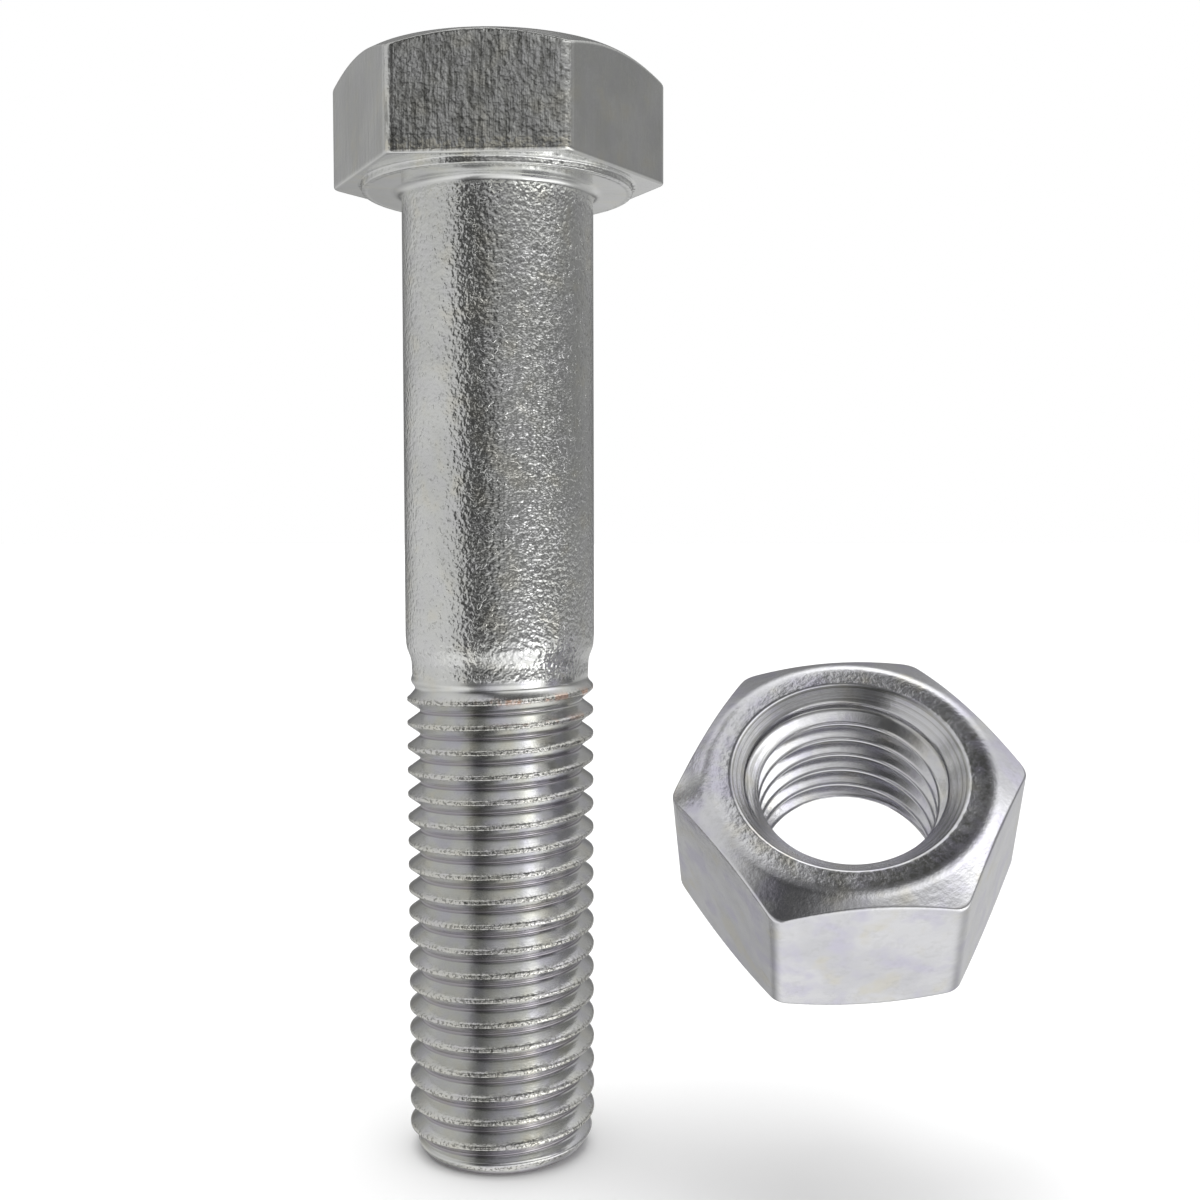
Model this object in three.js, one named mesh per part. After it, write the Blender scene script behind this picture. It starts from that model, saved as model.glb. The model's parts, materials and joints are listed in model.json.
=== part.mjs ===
// An M16 x 80 hex bolt with a partial thread, and its hex nut, to the sizes of DIN 931 and ISO 4032.
// Millimetres. The origin is the centre of the bolt's tip, +Z runs up its axis to the head, and the
// front flat of the head faces -Y. The nut stands off the thread, beside it and tipped forward.
import * as THREE from 'three';
import { mergeVertices } from 'three/addons/utils/BufferGeometryUtils.js';

const { clamp, degToRad, lerp } = THREE.MathUtils;

// Thread form, right-hand
const pitch = 2;
const crestFlat = 1 / 8;              // width of a crest and of a root, in pitches
const rootFlat = 1 / 4;
const crestHeight = 1.2;              // height of the first crest on the +X side, above the tip

// Bolt
const boltLength = 80;                // under the head to the tip
const headHeight = 10;
const acrossFlats = 24;               // the same spanner fits the head and the nut
const washerFaceRadius = 11.15;
const washerFaceHeight = 0.6;
const shankRadius = 7.9;
const filletRadius = 0.7;             // between the shank and the head
const neckRadius = 7.38;              // the blank that the thread is rolled on
const neckTop = 42.9;
const neckBottom = 40.4;
const runOutLength = 3;               // the thread fades into the neck over this length
const boltCrestRadius = 7.84;
const boltRootRadius = 6.77;
const tipRadius = 6.5;
const tipSlope = 0.85;                // the tip's chamfer, radius gained per height
const headTopRadius = 11.4;           // flat disc inside the head's chamfer

// Nut
const nutHeight = 14.4;
const nutFaceRadius = 11.2;           // flat ring inside the nut's chamfers
const countersinkRadius = 9.05;
const nutCrestRadius = 6.92;
const nutRootRadius = 8.02;

// Where the nut lies
const nutCentre = [28.5, -4.7, 28.4];
const nutLean = degToRad(42);         // tipped forward from upright
const nutTurn = degToRad(-5);         // then turned about the vertical
const nutSpin = degToRad(7);          // and turned about its own axis

const chamferSlope = Math.tan(degToRad(30));
const countersinkSlope = Math.tan(degToRad(45));
const columns = 36;                   // steps round each piece: six to a flat
const filletSteps = 3;
const fullTurn = 2 * Math.PI;

const angles = Array.from({ length: columns + 1 }, (_, column) => (fullTurn * column) / columns);

// Half the width of the hexagon at an angle, with a corner at 0
function hexRadius(angle) {
  const side = fullTurn / 6;
  const fromCorner = angle - side * Math.floor(angle / side);
  return acrossFlats / 2 / Math.cos(fromCorner - side / 2);
}

// 0 in a root and 1 on a crest, with straight flanks between them
function toothHeight(angle, height) {
  const turns = (height - crestHeight) / pitch - angle / fullTurn;
  const fromCrest = Math.abs(turns - Math.round(turns));
  const flank = (1 - rootFlat - crestFlat) / 2;
  return clamp(((1 - rootFlat) / 2 - fromCrest) / flank, 0, 1);
}

// Rows that climb with the thread, one at each bend of its outline, cut off flat at both ends
function threadRows(bottom, top, radiusAt) {
  const bends = [-(1 - rootFlat) / 2, -crestFlat / 2, crestFlat / 2, (1 - rootFlat) / 2];
  const firstTurn = Math.floor((bottom - crestHeight) / pitch) - 2;
  const lastTurn = Math.ceil((top - crestHeight) / pitch) + 1;
  const rows = [];
  for (let turn = firstTurn; turn <= lastTurn; turn += 1) {
    for (const bend of bends) {
      rows.push(angles.map((angle) => {
        const climb = crestHeight + pitch * (turn + bend + angle / fullTurn);
        const height = clamp(climb, bottom, top);
        return [radiusAt(angle, height), height];
      }));
    }
  }
  return rows;
}

function ring(radius, height) {
  return angles.map((angle) => [
    typeof radius === 'function' ? radius(angle) : radius,
    typeof height === 'function' ? height(angle) : height,
  ]);
}

// A closed skin through rows of [radius, height], which run up the outside of the piece
function skin(rows) {
  const corner = ([radius, height], column) => {
    const angle = angles[column % columns];
    return [radius * Math.cos(angle), radius * Math.sin(angle), height];
  };
  const positions = [];
  for (let row = 0; row + 1 < rows.length; row += 1) {
    for (let column = 0; column < columns; column += 1) {
      const a = corner(rows[row][column], column);
      const b = corner(rows[row][column + 1], column + 1);
      const c = corner(rows[row + 1][column + 1], column + 1);
      const d = corner(rows[row + 1][column], column);
      positions.push(...a, ...b, ...c, ...a, ...c, ...d);
    }
  }
  const soup = new THREE.BufferGeometry();
  soup.setAttribute('position', new THREE.Float32BufferAttribute(positions, 3));
  const merged = mergeVertices(soup);
  const index = merged.getIndex().array;
  const kept = [];
  for (let i = 0; i < index.length; i += 3) {
    const [a, b, c] = [index[i], index[i + 1], index[i + 2]];
    if (a !== b && b !== c && c !== a) {
      kept.push(a, b, c);
    }
  }
  merged.setIndex(kept);
  merged.computeVertexNormals();
  return merged;
}

function boltThreadRadius(angle, height) {
  const thread = lerp(boltRootRadius, boltCrestRadius, toothHeight(angle, height));
  const depth = clamp((neckBottom - height) / runOutLength, 0, 1);
  return Math.min(lerp(neckRadius, thread, depth), tipRadius + tipSlope * height);
}

function nutThreadRadius(angle, height) {
  const thread = lerp(nutCrestRadius, nutRootRadius, toothHeight(angle, height));
  const fromFace = nutHeight / 2 - Math.abs(height);
  return Math.max(thread, countersinkRadius - countersinkSlope * fromFace);
}

// Height of a hexagon's edge below the face that its chamfer meets
function chamferDrop(angle, faceRadius) {
  return chamferSlope * (hexRadius(angle) - faceRadius);
}

function boltGeometry() {
  const headTop = boltLength + headHeight;
  const underHead = boltLength + washerFaceHeight;
  const fillet = [];
  for (let step = 0; step <= filletSteps; step += 1) {
    const bend = ((Math.PI / 2) * step) / filletSteps;
    const radius = shankRadius + filletRadius * (1 - Math.cos(bend));
    fillet.push(ring(radius, boltLength - filletRadius * (1 - Math.sin(bend))));
  }
  return skin([
    ring(0, 0),
    ...threadRows(0, neckBottom, boltThreadRadius),
    ring(shankRadius, neckTop),
    ...fillet,
    ring(washerFaceRadius, boltLength),
    ring(washerFaceRadius, underHead),
    ring(hexRadius, underHead),
    ring(hexRadius, (angle) => headTop - chamferDrop(angle, headTopRadius)),
    ring(headTopRadius, headTop),
    ring(0, headTop),
  ]);
}

function nutGeometry() {
  const half = nutHeight / 2;
  const bore = threadRows(-half, half, nutThreadRadius).reverse();
  const outside = [
    ring(countersinkRadius, -half),
    ring(nutFaceRadius, -half),
    ring(hexRadius, (angle) => chamferDrop(angle, nutFaceRadius) - half),
    ring(hexRadius, (angle) => half - chamferDrop(angle, nutFaceRadius)),
    ring(nutFaceRadius, half),
  ];
  return skin([...outside, ...bore]);
}

// Bright zinc plate on steel
const boltZinc = new THREE.MeshStandardMaterial({ color: 0xa9aba8, roughness: 0.38, metalness: 1 });
const nutZinc = new THREE.MeshStandardMaterial({ color: 0xb9bac2, roughness: 0.28, metalness: 1 });

const hexBolt = new THREE.Mesh(boltGeometry(), boltZinc);
hexBolt.name = 'hex_bolt';

const hexNut = new THREE.Mesh(nutGeometry(), nutZinc);
hexNut.name = 'hex_nut';
hexNut.rotation.z = nutSpin;

const leaning = new THREE.Group();
leaning.rotation.x = nutLean;
leaning.add(hexNut);

const nutPlace = new THREE.Group();
nutPlace.position.set(...nutCentre);
nutPlace.rotation.z = nutTurn;
nutPlace.add(leaning);

const boltAndNut = new THREE.Group();
boltAndNut.add(hexBolt, nutPlace);

export default boltAndNut;
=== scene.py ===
import json
import math

import bpy
import numpy as np
from mathutils import Matrix, Vector


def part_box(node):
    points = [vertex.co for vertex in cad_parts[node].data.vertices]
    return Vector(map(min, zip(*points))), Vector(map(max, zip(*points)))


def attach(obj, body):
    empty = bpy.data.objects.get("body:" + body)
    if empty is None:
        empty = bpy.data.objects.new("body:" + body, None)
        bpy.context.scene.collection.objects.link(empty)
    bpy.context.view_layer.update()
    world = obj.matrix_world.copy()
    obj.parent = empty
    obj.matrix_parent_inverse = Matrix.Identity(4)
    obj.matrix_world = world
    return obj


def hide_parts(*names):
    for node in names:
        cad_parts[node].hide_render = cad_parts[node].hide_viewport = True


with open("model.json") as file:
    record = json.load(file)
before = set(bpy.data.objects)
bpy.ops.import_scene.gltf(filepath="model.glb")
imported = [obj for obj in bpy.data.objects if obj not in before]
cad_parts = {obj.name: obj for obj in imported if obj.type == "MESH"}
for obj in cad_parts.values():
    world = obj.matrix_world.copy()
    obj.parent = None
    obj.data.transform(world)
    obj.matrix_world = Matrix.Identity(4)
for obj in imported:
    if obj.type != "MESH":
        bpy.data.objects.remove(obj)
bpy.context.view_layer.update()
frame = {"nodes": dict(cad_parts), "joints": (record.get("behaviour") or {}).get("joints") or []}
mm = 0.001
columns = 192                         # steps round every piece, a multiple of six
thirty = math.tan(math.radians(30))   # slope of the chamfers on both hexagons
print("frame loaded:", ", ".join(sorted(frame["nodes"])))


# An output socket: sums, products and powers of wires add Math nodes
class Wire:
    def __init__(self, net, socket):
        self.net, self.socket = net, socket

    def __add__(self, other):
        return self.net.maths("ADD", self, other)

    def __sub__(self, other):
        return self.net.maths("SUBTRACT", self, other)

    def __rsub__(self, other):
        return self.net.maths("SUBTRACT", other, self)

    def __mul__(self, other):
        return self.net.maths("MULTIPLY", self, other)

    def __truediv__(self, other):
        return self.net.maths("DIVIDE", self, other)

    def __rtruediv__(self, other):
        return self.net.maths("DIVIDE", other, self)

    def __pow__(self, other):
        return self.net.maths("POWER", self, other)

    def __neg__(self):
        return self * -1

    __radd__, __rmul__ = __add__, __mul__


# A node tree that is being filled
class Net:
    def __init__(self, tree):
        self.tree = tree
        tree.nodes.clear()

    def node(self, kind, settings=None, inputs=None, out=0):
        made = self.tree.nodes.new(kind)
        for name, value in (settings or {}).items():
            if name == "stops":
                setStops(made.color_ramp, value)
            else:
                setattr(made, name, value)
        for socket, value in (inputs or {}).items():
            if isinstance(value, Wire):
                self.tree.links.new(value.socket, made.inputs[socket])
            else:
                made.inputs[socket].default_value = value
        if out is None:
            return made
        if isinstance(out, (list, tuple)):
            return [Wire(self, made.outputs[name]) for name in out]
        return Wire(self, made.outputs[out])

    def maths(self, operation, *values):
        return self.node("ShaderNodeMath", {"operation": operation}, dict(enumerate(values)))

    def vector(self, operation, a, b, out="Vector"):
        return self.node("ShaderNodeVectorMath", {"operation": operation}, {0: a, 1: b}, out)

    def join(self, x, y, z):
        return self.node("ShaderNodeCombineXYZ", {}, {0: x, 1: y, 2: z})

    def split(self, vector):
        return self.node("ShaderNodeSeparateXYZ", {}, {0: vector}, out=["X", "Y", "Z"])

    def ramp(self, value, low, high):  # 0 at low, 1 at high
        return self.node(
            "ShaderNodeMapRange",
            {"interpolation_type": "SMOOTHSTEP"},
            {"Value": value, "From Min": low, "From Max": high},
        )

    def blend(self, share, a, b):     # colours
        return self.node(
            "ShaderNodeMix", {"data_type": "RGBA"}, {0: share, 6: a, 7: b}, out=2
        )

    def noise(self, where, scale, detail=2.0, roughness=0.5):
        return self.node(
            "ShaderNodeTexNoise",
            {},
            {"Vector": where, "Scale": scale, "Detail": detail, "Roughness": roughness},
        )


def setStops(ramp, stops):
    while len(ramp.elements) < len(stops):
        ramp.elements.new(1.0)
    for element, (place, colour) in zip(ramp.elements, stops):
        element.position = place
        element.color = colour


def grey(value):
    return (value, value, value, 1.0)


# Zinc plate on a piece that lies at place. The pattern works in mm, with z up the piece's own
# axis, and gives the colour, the roughness and the relief.
def zinc(name, look, place, pattern):
    material = bpy.data.materials.new(name)
    material.use_nodes = True
    net = Net(material.node_tree)
    here = net.node("ShaderNodeTexCoord", out="Object")
    here = net.node(
        "ShaderNodeMapping",
        {"vector_type": "TEXTURE"},
        {"Vector": here, "Location": place.translation, "Rotation": place.to_euler("XYZ"),
         "Scale": (mm, mm, mm)},
    )
    x, y, z = net.split(here)
    spot = {
        "here": here, "x": x, "y": y, "z": z,
        "out": net.maths("SQRT", x * x + y * y),
        "wear": net.node("ShaderNodeAttribute", {"attribute_name": "wear"}, out="Fac"),
    }
    colour, roughness, height = pattern(net, spot, look)
    bump = net.node(
        "ShaderNodeBump", {}, {"Strength": 1.0, "Distance": mm, "Height": height}
    )
    shader = net.node(
        "ShaderNodeBsdfPrincipled",
        {},
        {"Base Color": colour, "Metallic": 1.0, "Roughness": roughness, "Normal": bump},
    )
    net.node("ShaderNodeOutputMaterial", {}, {"Surface": shader}, out=None)
    return material


# A blank is made of rows, rings of points that run up the outside of a piece. This is a round one.
def circle(radius, height):
    angle = np.arange(columns) * 2 * np.pi / columns
    return np.stack(
        [radius * np.cos(angle), radius * np.sin(angle), np.full(columns, height)], axis=1
    )


# A hexagon with rounded corners, which have their own close columns. With a slope it is the edge
# where a cone cuts the flats.
def hexagon(acrossFlats, cornerRound, height, faceRadius=0.0, slope=0.0):
    perFlat = columns // 6
    side = np.pi / 3
    centre = (acrossFlats / 2 - cornerRound) / math.cos(side / 2)
    tangent = math.atan2(
        cornerRound * math.sin(side / 2), centre + cornerRound * math.cos(side / 2)
    )
    close = tangent * np.array([0, 0.25, 0.5, 0.75, 1.0, 1.3, 2.0])   # the rounding ends at 1
    middle = np.linspace(close[-1], side - close[-1], perFlat - 2 * len(close) + 3)[1:-1]
    steps = np.concatenate([close, middle, side - close[:0:-1]])
    angle = (np.arange(6)[:, None] * side + steps[None, :]).ravel()
    fromCorner = np.minimum(steps, side - steps)
    arc = centre * np.cos(fromCorner) + np.sqrt(
        np.maximum(cornerRound**2 - (centre * np.sin(fromCorner)) ** 2, 0)
    )
    flat = acrossFlats / 2 / np.cos(side / 2 - fromCorner)
    radius = np.tile(np.where(fromCorner < tangent, arc, flat), 6)
    drop = slope * (radius - faceRadius)
    return np.stack([radius * np.cos(angle), radius * np.sin(angle), height - drop], axis=1)


# The rows of a rounded edge, with one more row each side that keeps the faces beyond it flat
def softEdge(before, row, after, cut):
    steps, beyond = 5, 1.4
    back = (before - row) / np.linalg.norm(before - row, axis=1, keepdims=True)
    on = (after - row) / np.linalg.norm(after - row, axis=1, keepdims=True)
    start, end = row + cut * back, row + cut * on
    rows = [(row + beyond * cut * back, 0.0)]
    for t in np.linspace(0, 1, steps + 1):
        bend = (1 - t) ** 2 * start + 2 * t * (1 - t) * row + t**2 * end
        # the second value marks the middle of the rounded edge, which the zinc lightens as wear
        # and a painted highlight
        rows.append((bend, math.sin(math.pi * t)))
    rows.append((row + beyond * cut * on, 0.0))
    return rows


# The outline holds (row, cut) pairs, and a cut of 0 leaves the row as it is
def softened(outline):
    rows = []
    for place, (row, cut) in enumerate(outline):
        if cut:
            rows += softEdge(outline[place - 1][0], row, outline[place + 1][0], cut)
        else:
            rows.append((row, 0.0))
    return rows


# Faces between the rows of each strip; a row with no width is a pole and becomes one point
def skin(name, strips):
    points, faces, wear = [], [], []
    for rows in strips:
        ids = []
        for row, wornAndSheen in rows:
            first = len(points)
            pole = np.ptp(row, axis=0).max() < 1e-9
            points += [row[0]] if pole else list(row)
            wear += [wornAndSheen] * (1 if pole else columns)
            ids.append([first] * columns if pole else list(range(first, first + columns)))
        for low, high in zip(ids, ids[1:]):
            for column in range(columns):
                after = (column + 1) % columns
                face = [low[column], low[after], high[after], high[column]]
                faces.append(list(dict.fromkeys(face)))
    mesh = bpy.data.meshes.new(name)
    mesh.from_pydata([tuple(p * mm) for p in np.array(points)], [], faces)
    mesh.attributes.new("wear", "FLOAT", "POINT").data.foreach_set("value", wear)
    blank = bpy.data.objects.new(name, mesh)
    bpy.context.scene.collection.objects.link(blank)
    return blank


# The thread is a grid whose rows climb with it, rolled onto a blank or cut inside it
bunching = 0.55                       # how far the rows gather at crests and roots
flankBlend = 0.12                     # how softly the flanks run into crests and roots
mouthBlend, tipBlend = 0.1, 0.15      # and the thread into the cones at its ends, mm
crestFade, rootFade = 0.6, 1.5        # pitches over which a rolled thread fades out
creaseWidth = 0.05                    # half the width of the crease on a crest, in pitches
raggedSize = 15.0                     # how closely the raggedness of a crest comes and goes
# the tips of a cut thread are lightened as a painted highlight with some wear
boreWearAndSheen = 0.6                        # how bright the tips of a cut thread are


def threadTree(sizes, inside):
    tree = bpy.data.node_groups.new("cutThread" if inside else "rollThread", "GeometryNodeTree")
    face = tree.interface
    face.new_socket("Blank", in_out="INPUT", socket_type="NodeSocketGeometry")
    for name in sizes:
        face.new_socket(name, in_out="INPUT", socket_type="NodeSocketFloat")
    for name in ("Columns", "Rows per pitch"):
        face.new_socket(name, in_out="INPUT", socket_type="NodeSocketInt")
    face.new_socket("Zinc", in_out="INPUT", socket_type="NodeSocketMaterial")
    face.new_socket("Threaded", in_out="OUTPUT", socket_type="NodeSocketGeometry")
    net = Net(tree)
    names = ["Blank", *sizes, "Columns", "Rows per pitch", "Zinc"]
    given = dict(zip(names, net.node("NodeGroupInput", out=names)))
    pitch, bottom, top = given["Pitch"], given["Bottom"], given["Top"]
    firstCrest, perPitch = given["First crest"], given["Rows per pitch"]

    firstTurn = net.maths("FLOOR", (bottom - firstCrest) / pitch) - 2
    turns = net.maths("CEIL", (top - firstCrest) / pitch) + 1 - firstTurn
    rowCount = turns * perPitch
    grid = net.node(
        "GeometryNodeMeshGrid",
        {},
        {"Size X": 1.0, "Size Y": turns,
         "Vertices X": given["Columns"] + 1, "Vertices Y": rowCount + 1},
        out="Mesh",
    )
    gridX, gridY, _ = net.split(net.node("GeometryNodeInputPosition"))
    turn = gridX + 0.5
    row = gridY + turns / 2
    row = row - net.maths("SINE", row * (4 * math.pi)) * (bunching / (4 * math.pi))
    climb = firstCrest + pitch * (row + firstTurn + turn)
    height = net.maths("MINIMUM", net.maths("MAXIMUM", climb, bottom), top)

    fromCrest = net.maths("PINGPONG", (height - firstCrest) / pitch - turn, 0.5)
    halfCrest, halfRoot = given["Crest flat"] / 2, given["Root flat"] / 2
    tooth = (0.5 - halfRoot - fromCrest) / (0.5 - halfRoot - halfCrest)
    tooth = net.maths("SMOOTH_MIN", tooth, 1.0, flankBlend)
    tooth = net.maths("SMOOTH_MAX", tooth, 0.0, flankBlend)
    crest, root = given["Crest radius"], given["Root radius"]
    angle = turn * (2 * math.pi)
    if inside:
        radius = root + (crest - root) * tooth
        fromFace = net.maths("MINIMUM", height - bottom, top - height)
        cone = given["Cone radius"] - given["Cone slope"] * fromFace
        radius = net.maths("SMOOTH_MAX", radius, cone, mouthBlend * mm)
        # the bore's crests marked for the zinc to lighten as a painted highlight with some wear
        wornAndSheen = (1 - tooth) * boreWearAndSheen
    else:
        plain = given["Plain radius"]
        crestDepth = net.ramp(top - height, 0.0, pitch * crestFade)
        rootDepth = net.ramp(top - height, 0.0, pitch * rootFade)
        around = net.join(net.maths("COSINE", angle), net.maths("SINE", angle), height / pitch)
        ragged = net.noise(around, raggedSize, 2.0) - 0.5
        groove = given["Crest groove"] * net.ramp(fromCrest, creaseWidth, 0.0)
        crest = crest + given["Raggedness"] * ragged * 2 - groove
        crest = plain + (crest - plain) * crestDepth
        root = plain + (root - plain) * rootDepth
        radius = root + (crest - root) * tooth
        cone = given["Cone radius"] + given["Cone slope"] * (height - bottom)
        radius = net.maths("SMOOTH_MIN", radius, cone, tipBlend * mm)
        # the crests are marked for the zinc to lighten: a cream tint and a painted highlight
        wornAndSheen = tooth ** 5 * crestDepth
    place = net.join(
        radius * net.maths("COSINE", angle), radius * net.maths("SINE", angle), height
    )
    marked = net.node(                # before the grid is rolled, while its places are rows
        "GeometryNodeStoreNamedAttribute",
        {"data_type": "FLOAT", "domain": "POINT"},
        {"Geometry": grid, "Name": "wear", "Value": wornAndSheen},
    )
    rolled = net.node("GeometryNodeSetPosition", {}, {"Geometry": marked, "Position": place})
    return net, given, rolled


def finishThread(net, given, rolled, inside):
    if inside:
        rolled = net.node("GeometryNodeFlipFaces", {}, {"Mesh": rolled})
    joining = net.node("GeometryNodeJoinGeometry", out=None)
    for part in (rolled, given["Blank"]):
        net.tree.links.new(part.socket, joining.inputs[0])
    whole = net.node(
        "GeometryNodeMergeByDistance",
        {},
        {"Geometry": Wire(net, joining.outputs[0]), "Distance": 1e-6},
    )
    whole = net.node("GeometryNodeSetShadeSmooth", {}, {"Geometry": whole})
    whole = net.node("GeometryNodeRealizeInstances", {}, {"Geometry": whole})
    whole = net.node(
        "GeometryNodeSetMaterial", {}, {"Geometry": whole, "Material": given["Zinc"]}
    )
    net.node("NodeGroupOutput", {}, {"Threaded": whole}, out=None)


def threaded(blank, name, material, sizes, rowsPerPitch, inside):
    net, given, rolled = threadTree(sizes, inside)
    finishThread(net, given, rolled, inside)
    ratios = ("Cone slope", "Crest flat", "Root flat")
    values = {key: size * (1 if key in ratios else mm) for key, size in sizes.items()}
    values |= {"Columns": columns, "Rows per pitch": rowsPerPitch, "Zinc": material}
    modifier = blank.modifiers.new("thread", "NODES")
    modifier.node_group = net.tree
    for socket in net.tree.interface.items_tree:
        if socket.in_out == "INPUT" and socket.name in values:
            modifier[socket.identifier] = values[socket.name]
    seen = blank.evaluated_get(bpy.context.evaluated_depsgraph_get())
    piece = bpy.data.objects.new(name, bpy.data.meshes.new_from_object(seen))
    bpy.context.scene.collection.objects.link(piece)
    bpy.data.objects.remove(blank)
    return piece


bolt = {                              # sizes in mm
    "shankRadius": 7.9,
    "neckTop": 42.9,
    "underHead": 80.0,
    "fillet": 0.7,
    "washerFaceRadius": 11.15,
    "washerFaceHeight": 0.6,
    "cornerRound": 1.1,
    "topRadius": 11.4,
    "tipRadius": 6.5,
    "headEdges": (0.26, 0.2, 0.25),   # rounding under the head, below the chamfer and on top
    "washerEdges": (0.16, 0.2),       # and at the washer face's edge and foot
    "tipEdge": 0.4,
    "rowsPerPitch": 18,
    "thread": {
        "Pitch": 2.0,
        "Crest flat": 0.11,           # in pitches
        "Root flat": 0.12,
        "Crest radius": 7.84,
        "Root radius": 6.77,
        "Crest groove": 0.05,         # the crease that rolling leaves along a crest
        "First crest": 1.2,
        "Bottom": 0.5,
        "Top": 40.4,
        "Cone radius": 6.95,
        "Cone slope": 0.7,
        "Plain radius": 7.38,         # where the thread fades out
        "Raggedness": 0.025,
    },
    "plate": (0.705, 0.71, 0.69, 1.0),
    "bright": (0.78, 0.785, 0.765, 1.0),
    "straw": (0.80, 0.77, 0.66, 1.0),
    "lilac": (0.68, 0.67, 0.76, 1.0),
    "copper": (0.84, 0.56, 0.43, 1.0),
    "pit": (0.20, 0.20, 0.18, 1.0),
    # the colour the thread's roots darken to: painted shade, with some dirt
    "rootStain": (0.25, 0.22, 0.26, 1.0),
    "stained": 0.5,                   # how dark the stain and the streaks on the rough flats are
    "topStained": 0.2,
    "roughness": 0.13,
    "grain": 0.09,                    # height of the grain
    "grainSize": 2.7,                 # grains per mm
    "blister": 0.02,                  # height of the raised specks
}


def boltBox():                        # the top of the head and its width across flats, mm
    low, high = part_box("hex_bolt")
    return high.z / mm, (high.y - low.y) / mm


# Where each finish lies, as masks from 0 to 1
def boltZones(net, spot):
    z, out = spot["z"], spot["out"]
    headTop, flats = boltBox()
    underHead = bolt["underHead"]
    under = underHead + bolt["washerFaceHeight"]
    washer, topRadius = bolt["washerFaceRadius"], bolt["topRadius"]
    threadTop, root = bolt["thread"]["Top"], bolt["thread"]["Root radius"]
    onHead = net.ramp(z, under, under + 0.4)
    onThread = net.ramp(z, threadTop + 0.1, threadTop - 0.3)
    onFlats = onHead * net.ramp(out, flats / 2 - 0.4, flats / 2 - 0.1)
    # only the front and back flats are rough
    fromAxis = net.maths("ABSOLUTE", spot["y"])
    onRough = onFlats * net.ramp(fromAxis, flats / 2 - 0.4, flats / 2 - 0.15)
    # the edge of the washer face is uneven
    onRim = net.ramp(z, underHead - 0.1, underHead + 0.1)
    onRim = onRim * net.ramp(z, under + 0.2, under - 0.1)
    onRim = onRim * net.ramp(out, washer - 0.55, washer - 0.25)
    onRim = onRim * net.ramp(out, washer + 0.35, washer + 0.15)
    onShank = net.ramp(z, threadTop - 0.3, threadTop + 0.1)
    onShank = onShank * net.ramp(z, underHead - 0.4, underHead - 0.8)
    onTop = net.ramp(z, headTop - 0.3, headTop - 0.15)
    onTop = onTop * net.ramp(out, topRadius, topRadius - 0.2)
    runOut = net.ramp(z, threadTop - 3.8, threadTop - 2.8)
    runOut = runOut * net.ramp(z, threadTop + 0.2, threadTop - 0.6)
    chamferLine = headTop + thirty * topRadius
    return {
        "head": onHead, "thread": onThread, "shank": onShank, "flats": onFlats,
        "rough": onRough, "rim": onRim, "top": onTop, "runOut": runOut,
        "foot": onRough * net.ramp(z, under + 1.3, under + 0.9),
        "chamfer": net.ramp(z + out * thirty, chamferLine - 0.18, chamferLine - 0.08),
        # the thread's roots, which the pattern darkens as painted shade with some dirt
        "root": onThread * net.ramp(out, root + 0.10, root + 0.01),
    }


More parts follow.
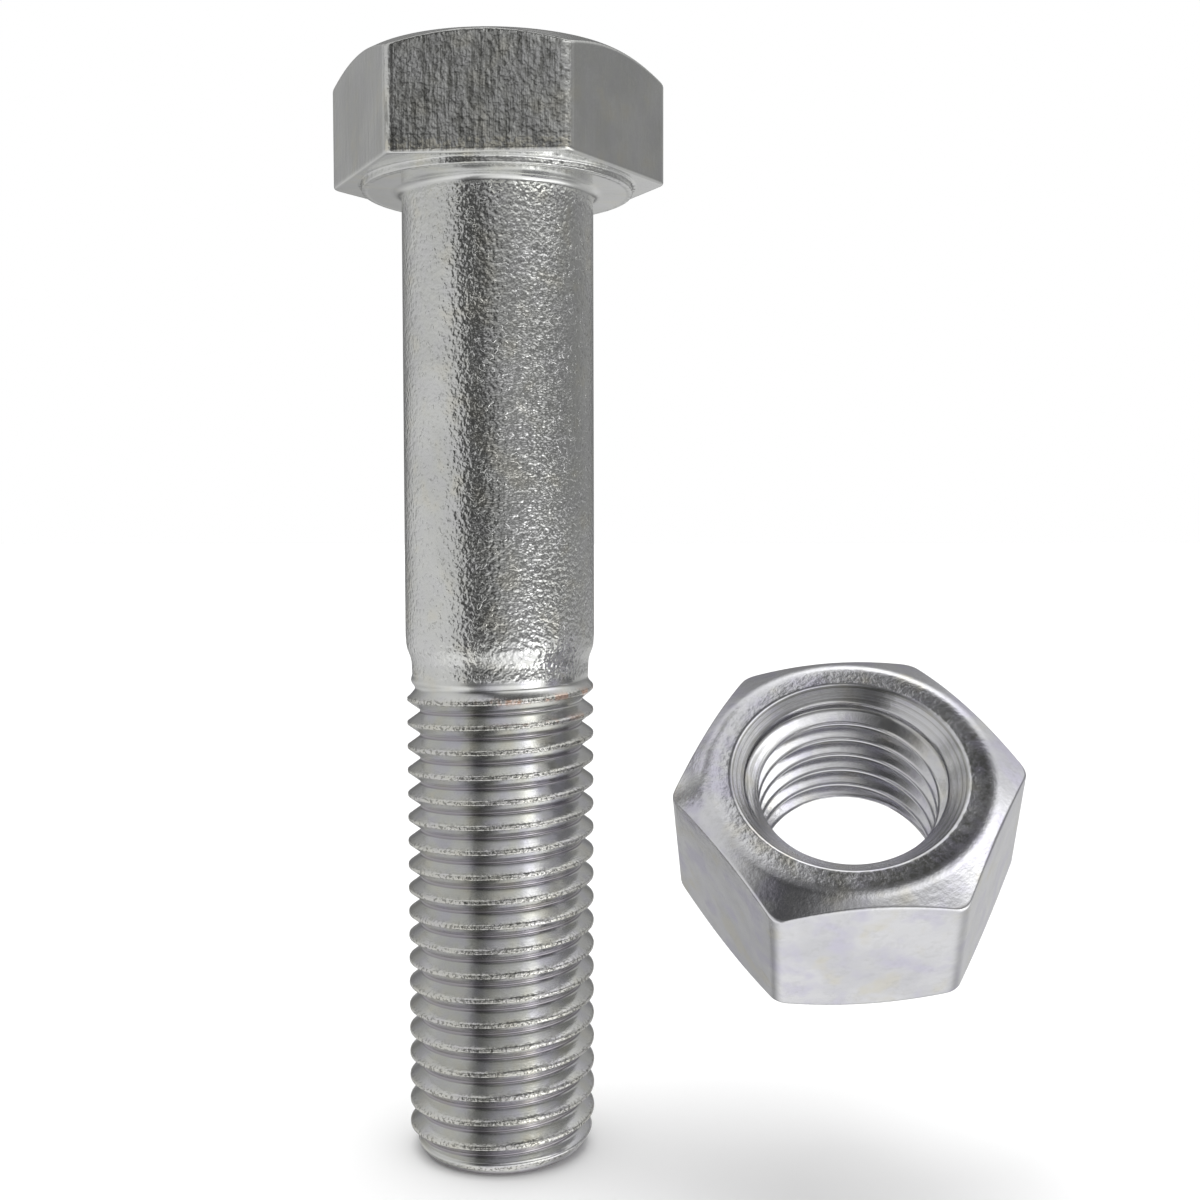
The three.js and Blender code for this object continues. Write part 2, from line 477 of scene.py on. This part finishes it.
def boltPattern(net, spot, look):
    here, z, wear = spot["here"], spot["z"], spot["wear"]
    on = boltZones(net, spot)
    cloud = net.noise(here, 0.22, 3.0)
    patch = net.noise(here, 0.7, 3.0, 0.6)
    tint = net.noise(here, 0.45, 2.0)
    grain = net.noise(here, look["grainSize"], 1.0, 0.5)
    blisters = net.noise(net.vector("ADD", here, (40.0, 7.0, 3.0)), 1.9, 1.0)
    fine = net.noise(here, 8.0, 2.0)
    scratch = net.noise(net.vector("MULTIPLY", here, (1.0, 1.0, 0.07)), 2.6, 3.0, 0.7)
    blotch = net.noise(net.vector("MULTIPLY", here, (1.0, 1.0, 0.45)), 1.1, 3.0, 0.6)
    turning = net.noise(net.join(spot["out"] * 9.0, z * 0.08, 0.0), 1.0, 3.0, 0.6)
    specks = net.noise(here, 4.4, 1.0)

    # plate, with lilac and straw in it
    colour = net.blend(net.ramp(cloud, 0.35, 0.65), look["plate"], look["bright"])
    lilac = net.ramp(tint, 0.46, 0.64) * (0.15 + 0.3 * on["thread"])
    colour = net.blend(lilac, colour, look["lilac"])
    colour = net.blend(net.ramp(tint, 0.46, 0.28) * 0.4, colour, look["straw"])
    pits = net.ramp(grain, 0.38, 0.28) * (on["shank"] + on["rough"])
    colour = net.blend(pits * 0.3, colour, look["pit"])

    # the head: stains and streaks on its rough flats, and a cream line at their foot
    stain = net.ramp(blotch, 0.56, 0.42) * (0.35 + 0.65 * net.ramp(grain, 0.56, 0.44))
    stained = on["rough"] * look["stained"] + on["top"] * look["topStained"]
    colour = net.blend(stain * stained, colour, look["pit"])
    streak = net.ramp(scratch, 0.50, 0.38) * on["rough"]
    colour = net.blend(streak * look["stained"], colour, look["pit"])
    cream = on["foot"] * net.ramp(grain, 0.42, 0.55)
    colour = net.blend(cream * 0.7, colour, look["straw"])

    # the thread: crests paler with a cream tint and a painted highlight, with dark specks, roots
    # darkened by painted shade and dirt, and copper where it runs out
    crests = wear * on["thread"]
    # a cream tint and a painted highlight on the crests
    colour = net.blend(crests * 0.3, colour, look["straw"])
    colour = net.blend(net.ramp(specks, 0.48, 0.40) * crests * 0.7, colour, look["pit"])
    # painted shade, with some dirt, in the thread's roots, where the neighbouring teeth shade them
    colour = net.blend(on["root"] * 0.65, colour, look["rootStain"])
    colour = net.blend(on["chamfer"] * 0.25, colour, look["pit"])
    inFront = net.ramp(spot["x"] - spot["y"], 6.0, 8.5)
    copper = on["runOut"] * wear * inFront * net.ramp(patch, 0.44, 0.58)
    colour = net.blend(copper * 0.8, colour, look["copper"])
    # the head's rounded edges lightened: wear and a painted highlight
    colour = net.blend(wear * on["head"] * 0.4, colour, look["bright"])

    roughness = look["roughness"] + 0.08 * (cloud - 0.5) + 0.06 * net.ramp(fine, 0.5, 0.7)
    roughness = roughness + 0.05 * on["thread"] + 0.05 * on["head"]

    grainy = on["shank"] + on["rough"] * 0.4 + on["top"] * 0.4 + 0.05 + on["flats"] * 0.10
    height = look["grain"] * grainy * grain
    height = height + look["blister"] * on["shank"] * net.ramp(blisters, 0.62, 0.68)
    height = height + 0.03 * on["flats"] * scratch + 0.04 * on["rough"] * blotch
    height = height + 0.05 * crests * net.noise(here, 4.0, 1.0)
    height = height + 0.005 * on["thread"] * turning
    height = height + 0.10 * on["rim"] * net.noise(here, 1.5, 2.0)
    height = height + 0.03 * cloud + 0.002 * fine
    return colour, roughness, height


def boltBlank():
    headTop, flats = boltBox()
    sizes = bolt["thread"]
    plain, neck = sizes["Plain radius"], bolt["neckTop"]
    underHead = bolt["underHead"]
    under = underHead + bolt["washerFaceHeight"]
    shank, washer, topRadius = bolt["shankRadius"], bolt["washerFaceRadius"], bolt["topRadius"]
    corners = bolt["cornerRound"]
    underEdge, chamferEdge, topEdge = bolt["headEdges"]
    washerEdge, washerFoot = bolt["washerEdges"]
    # each row with its rounding; a row with none keeps the faces beside it even
    body = [
        (circle(plain, sizes["Top"]), 0),
        (circle(plain + 0.05, neck - 1.3), 0.4),
        (circle(shank - 0.08, neck - 0.3), 0.3),
        (circle(shank, neck + 0.7), 0.2),
        (circle(shank, underHead), bolt["fillet"]),
        (circle(washer, underHead), washerEdge),
        (circle(washer, under), washerFoot),
        (hexagon(flats * 0.955, corners, under), 0),
        (hexagon(flats, corners, under), underEdge),
        (hexagon(flats, corners, headTop, topRadius, thirty), chamferEdge),
        (circle(topRadius, headTop), topEdge),
        (circle(topRadius * 0.6, headTop), 0),
        (circle(0, headTop), 0),
    ]
    tip = [
        (circle(0, 0), 0),
        (circle(bolt["tipRadius"] * 0.7, 0), 0),
        (circle(bolt["tipRadius"], 0), bolt["tipEdge"]),
        (circle(sizes["Cone radius"], sizes["Bottom"]), 0),
    ]
    return skin("boltBlank", [softened(tip), softened(body)])


def makeBolt():
    material = zinc("boltZinc", bolt, Matrix.Identity(4), boltPattern)
    piece = threaded(boltBlank(), "bolt", material, bolt["thread"], bolt["rowsPerPitch"], False)
    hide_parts("hex_bolt")
    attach(piece, "bolt")
    print("bolt:", len(piece.data.polygons), "faces")


nut = {                               # sizes in mm
    "height": 14.4,
    "acrossFlats": 24.0,
    "cornerRound": 1.3,
    "faceRadius": 11.0,
    "countersink": 9.05,
    "crown": 0.02,                    # the end faces are very slightly domed
    "edges": (0.22, 0.55, 0.18),      # rounding below the chamfer, above it and at the countersink
    "spin": math.radians(7),
    "rowsPerPitch": 18,
    "thread": {
        "Pitch": 2.0,
        "Crest flat": 0.24,           # in pitches, at the wide side of the tooth
        "Root flat": 0.14,
        "Crest radius": 8.02,
        "Root radius": 6.92,
        "Crest groove": 0.0,
        "First crest": 1.2,
        "Bottom": -7.0,
        "Top": 7.0,
        "Cone radius": 8.85,
        "Cone slope": 1.0,
        "Plain radius": 6.92,
        "Raggedness": 0.0,
    },
    "plate": (0.74, 0.74, 0.77, 1.0),
    "bright": (0.86, 0.86, 0.88, 1.0),
    "straw": (0.80, 0.77, 0.66, 1.0),
    "lilac": (0.72, 0.70, 0.82, 1.0),
    "pit": (0.30, 0.30, 0.26, 1.0),
    "smutty": 0.6,                    # how dark the painted dark reflection on one side of the ring is
    "roughness": 0.16,
    "grain": 0.010,                   # height of the grain
    "grainSize": 2.2,                 # grains per mm
}


# Where each finish lies, as masks from 0 to 1
def nutZones(net, spot, fromMiddle):
    out = spot["out"]
    half, flats, sink = nut["height"] / 2, nut["acrossFlats"] / 2, nut["countersink"]
    face, deep = nut["faceRadius"], nut["thread"]["Crest radius"]
    onEnds = net.ramp(fromMiddle, half - 1.5, half - 0.9)
    onEnds = onEnds * net.ramp(out, sink - 0.05, sink + 0.15)
    inBore = net.ramp(out, sink - 0.15, sink - 0.45)
    mouth = half - sink
    inCone = net.ramp(fromMiddle - out, mouth - 0.30, mouth - 0.15)
    inCone = inCone * net.ramp(out, sink + 0.1, sink - 0.05)
    return {
        "ends": onEnds,
        "ring": onEnds * net.ramp(out, face - 0.1, face - 0.6),
        "flats": net.ramp(out, flats - 0.25, flats - 0.05) * (1 - onEnds),
        "bore": inBore,
        "cone": inCone,
        # the roots of the bore's thread, which the pattern darkens as painted shade
        "root": net.ramp(out, deep - 0.27, deep - 0.07) * inBore * (1 - inCone),
    }


def nutPattern(net, spot, look):
    here, z, wear = spot["here"], spot["z"], spot["wear"]
    on = nutZones(net, spot, net.maths("ABSOLUTE", z))
    cloud = net.noise(here, 0.2, 3.0)
    patch = net.noise(here, 0.6, 3.0, 0.6)
    tint = net.noise(here, 0.35, 2.0)
    grain = net.noise(here, look["grainSize"], 3.0, 0.6)
    fine = net.noise(here, 8.0, 2.0)
    turning = net.noise(net.join(spot["out"] * 4.0, z * 4.0, 0.0), 1.0, 4.0, 0.7)

    colour = net.blend(net.ramp(cloud, 0.35, 0.65), look["plate"], look["bright"])
    colour = net.blend(net.ramp(tint, 0.48, 0.68) * 0.8, colour, look["lilac"])
    colour = net.blend(net.ramp(tint, 0.45, 0.28) * 0.6, colour, look["straw"])
    mottle = net.ramp(patch, 0.55, 0.42) * net.ramp(grain, 0.54, 0.40)
    colour = net.blend(mottle * 0.08, colour, look["pit"])
    # a painted dark reflection, mottled, on one side of the ring on the nut's ends
    ringDarkReflection = net.ramp(patch, 0.60, 0.45) * (0.5 + 0.5 * net.ramp(grain, 0.55, 0.45))
    ringDarkReflection = ringDarkReflection * on["ring"] * net.ramp(spot["x"] - spot["y"], -1.0, 6.0)
    colour = net.blend(ringDarkReflection * look["smutty"], colour, look["pit"])
    grooves = on["cone"] * net.ramp(turning, 0.55, 0.42)
    # painted shade in the roots of the bore's thread, and dirt in the turning grooves of the
    # countersinks
    rootShadeAndGrooveDirt = net.maths("MAXIMUM", on["root"] * 0.4, grooves * 0.6)
    colour = net.blend(rootShadeAndGrooveDirt, colour, look["pit"])
    # the rounded edges and, more, the crests in the bore lightened: a painted highlight with some
    # wear
    colour = net.blend(wear * (0.2 + 0.6 * on["bore"]), colour, look["bright"])

    roughness = look["roughness"] + 0.08 * (cloud - 0.4) + 0.05 * net.ramp(fine, 0.5, 0.7)

    height = look["grain"] * grain * (1 + 1.2 * on["ends"])
    height = height + (0.006 + 0.02 * on["cone"]) * (1 - on["flats"]) * turning
    height = height + 0.06 * cloud + 0.012 * patch * on["flats"] + 0.001 * fine
    return colour, roughness, height


# The nut lies where its hinge does, its axis on the hinge's
def nutPlace():
    joint = frame["joints"][0]
    x, y, z = joint["axis"]
    lean, turn = math.acos(z), math.atan2(x, -y)
    return (
        Matrix.Translation(Vector(joint["pos_m"]))
        @ Matrix.Rotation(turn, 4, "Z")
        @ Matrix.Rotation(lean, 4, "X")
        @ Matrix.Rotation(nut["spin"], 4, "Z")
    )


def nutBlank():
    half, face, sink = nut["height"] / 2, nut["faceRadius"], nut["countersink"]
    sizes = nut["thread"]
    chamferEdge, faceEdge, sinkEdge = nut["edges"]
    upper = [
        (hexagon(nut["acrossFlats"], nut["cornerRound"], half, face, thirty), chamferEdge),
        (circle(face, half), faceEdge),
        (circle((face + sink) / 2, half + nut["crown"]), 0),
        (circle(sink, half), sinkEdge),
        (circle(sizes["Cone radius"], sizes["Top"]), 0),
    ]
    lower = [(row * [1, 1, -1], cut) for row, cut in reversed(upper)]
    return skin("nutBlank", [softened(lower + upper)])


def makeNut():
    place = nutPlace()
    material = zinc("nutZinc", nut, place, nutPattern)
    piece = threaded(nutBlank(), "nut", material, nut["thread"], nut["rowsPerPitch"], True)
    piece.data.transform(place)
    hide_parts("hex_nut")
    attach(piece, "nut")
    print("nut:", len(piece.data.polygons), "faces")


studio = {
    # bands of light: the height each is centred on, in degrees, then its brightness round the
    # object, by degrees from the front, with + to the right
    "bands": [
        (-80, [(-180, 0.85), (180, 0.85)]),
        (-46, [(-180, 0.22), (-150, 0.25), (-90, 0.7), (-60, 0.9), (-42, 0.9), (-32, 0.4),
               (-20, 0.4), (-8, 0.75), (20, 1.1), (40, 1.25), (60, 1.25), (90, 1.15), (110, 0.7),
               (135, 0.4), (160, 0.3), (180, 0.22)]),
        (-30, [(-180, 0.5), (-166, 0.3), (-149, 0.45), (-90, 0.75), (-60, 0.8), (-42, 0.75),
               (-32, 0.2), (-20, 0.2), (-8, 0.6), (20, 1), (40, 1.35), (60, 1.6), (80, 1.6),
               (97, 1.35), (114, 0.6), (135, 0.5), (155, 0.58), (180, 0.5)]),
        (-15, [(-180, 0.65), (-166, 0.4), (-149, 0.5), (-125, 0.65), (-111, 0.68), (-66, 0.66),
               (-46, 0.58), (-34, 0.18), (-20, 0.18), (4, 0.44), (21, 0.58), (36, 0.82),
               (55, 0.95), (75, 0.85), (93, 0.65), (116, 0.42), (138, 0.5), (155, 0.58),
               (170, 0.7), (180, 0.65)]),
        (2, [(-180, 0.15), (-150, 0.17), (-140, 0.28), (-124, 0.55), (-105, 0.64), (-50, 0.66),
             (-40, 0.62), (-30, 0.06), (-8, 0.05), (6, 0.17), (24, 0.22), (45, 0.18), (75, 0.16),
             (90, 0.2), (106, 0.24), (135, 0.3), (155, 0.26), (180, 0.15)]),
        (18, [(-180, 0.22), (-150, 0.3), (-132, 0.36), (-100, 0.58), (-60, 0.58), (-45, 0.28),
              (-31, 0.05), (-20, 0.12), (-12, 0.3), (-4, 0.4), (4, 0.44), (24, 0.42), (45, 0.5),
              (60, 0.6), (75, 0.5), (95, 0.35), (117, 0.25), (135, 0.33), (155, 0.4),
              (180, 0.22)]),
        (36, [(-180, 0.22), (-160, 0.3), (-145, 0.45), (-130, 0.58), (-100, 0.66), (-62, 0.6),
              (-45, 0.2), (-31, 0.04), (-12, 0.08), (0, 0.4), (8, 0.9), (22, 1), (36, 1.3),
              (50, 1.6), (66, 1.7), (82, 1.4), (98, 0.9), (113, 0.7), (140, 0.55), (160, 0.3),
              (180, 0.22)]),
        (68, [(-180, 1.3), (-168, 1.1), (-136, 0.75), (-90, 0.72), (-40, 0.55), (-20, 0.12),
              (90, 0.14), (115, 0.7), (135, 1.4), (160, 1.7), (172, 1.5), (180, 1.3)]),
        (84, [(-180, 0.5), (-165, 0.9), (-120, 0.9), (-27, 0.85), (-14, 0.3), (-5, 0.1),
              (60, 0.08), (110, 0.1), (165, 0.18), (180, 0.5)]),
    ],
    # small bright lamps: degrees right of the front and up, radius, soft edge, brightness
    "lamps": [(50, -25, 3, 9, 2.6)],
    "backdrop": 1.0,
    "sun": 2.6,
    "sunSpread": 70,                  # degrees
    "floor": 0.9,
    "floorRoughness": 0.8,
    "floorReach": 3.0,                # metres from the middle
}


def makeWorld():
    world = bpy.data.worlds.new("studio")
    bpy.context.scene.world = world
    world.use_nodes = True
    net = Net(world.node_tree)
    towards = net.node("ShaderNodeTexCoord", out="Generated")
    x, y, z = net.split(towards)
    around = net.maths("ARCTAN2", x, -y) / (2 * math.pi) + 0.5
    rise = net.maths("ARCSINE", z) * (180 / math.pi)
    light = below = None
    for height, glows in studio["bands"]:
        stops = [(0.5 + degrees / 360, grey(glow)) for degrees, glow in glows]
        band = net.node("ShaderNodeValToRGB", {"stops": stops}, {"Fac": around}, out="Color")
        if light is None:
            light = band
        else:
            light = net.blend(net.ramp(rise, below, height), light, band)
        below = height
    for side, up, radius, edge, glow in studio["lamps"]:
        side, up = math.radians(side), math.radians(up)
        middle = (math.sin(side) * math.cos(up), -math.cos(side) * math.cos(up), math.sin(up))
        facing = net.vector("DOT_PRODUCT", towards, middle, out="Value")
        near, far = (math.cos(math.radians(a)) for a in (radius, radius + edge))
        light = net.blend(net.ramp(facing, far, near), light, grey(glow))
    seen = net.node("ShaderNodeLightPath", out="Is Camera Ray")
    glow = net.node("ShaderNodeBackground", {}, {"Color": light})
    paper = net.node("ShaderNodeBackground", {}, {"Color": grey(studio["backdrop"])})
    both = net.node("ShaderNodeMixShader", {}, {0: seen, 1: glow, 2: paper})
    net.node("ShaderNodeOutputWorld", {}, {"Surface": both}, out=None)


def makeFloor():
    material = bpy.data.materials.new("paper")
    material.use_nodes = True
    net = Net(material.node_tree)
    shader = net.node(
        "ShaderNodeBsdfPrincipled",
        {},
        {"Base Color": grey(studio["floor"]), "Roughness": studio["floorRoughness"]},
    )
    net.node("ShaderNodeOutputMaterial", {}, {"Surface": shader}, out=None)
    mesh = bpy.data.meshes.new("floor")
    reach = studio["floorReach"]
    mesh.from_pydata(
        [(-reach, -reach, 0), (reach, -reach, 0), (reach, reach, 0), (-reach, reach, 0)],
        [], [(0, 1, 2, 3)],
    )
    mesh.materials.append(material)
    floor = bpy.data.objects.new("floor", mesh)
    bpy.context.scene.collection.objects.link(floor)
    floor.visible_glossy = False
    lamp = bpy.data.lights.new("overhead", "SUN")
    lamp.energy = studio["sun"]
    lamp.angle = math.radians(studio["sunSpread"])
    overhead = bpy.data.objects.new("overhead", lamp)
    overhead.visible_glossy = False
    bpy.context.scene.collection.objects.link(overhead)


camera = {
    "lens": 43.9,                     # mm
    "sensor": 36,
    "reach": (0.005, 20),             # the nearest and furthest that it sees, metres
    "place": (15.4, -122.1, 53.2),    # mm
    "tilt": -3.15,                    # degrees
    "roll": 0.11,
    "turn": 3.27,
}


def makeCamera():
    data = bpy.data.cameras.new("camera")
    data.lens = camera["lens"]
    data.sensor_width = camera["sensor"]
    data.clip_start, data.clip_end = camera["reach"]
    eye = bpy.data.objects.new("camera", data)
    eye.location = Vector(camera["place"]) * mm
    eye.rotation_euler = [
        math.radians(a) for a in (90 + camera["tilt"], camera["roll"], camera["turn"])
    ]
    bpy.context.scene.collection.objects.link(eye)
    bpy.context.scene.camera = eye


makeCamera()
makeBolt()
makeNut()
makeWorld()
makeFloor()
bpy.context.scene.view_settings.view_transform = "Standard"
print("studio ready")
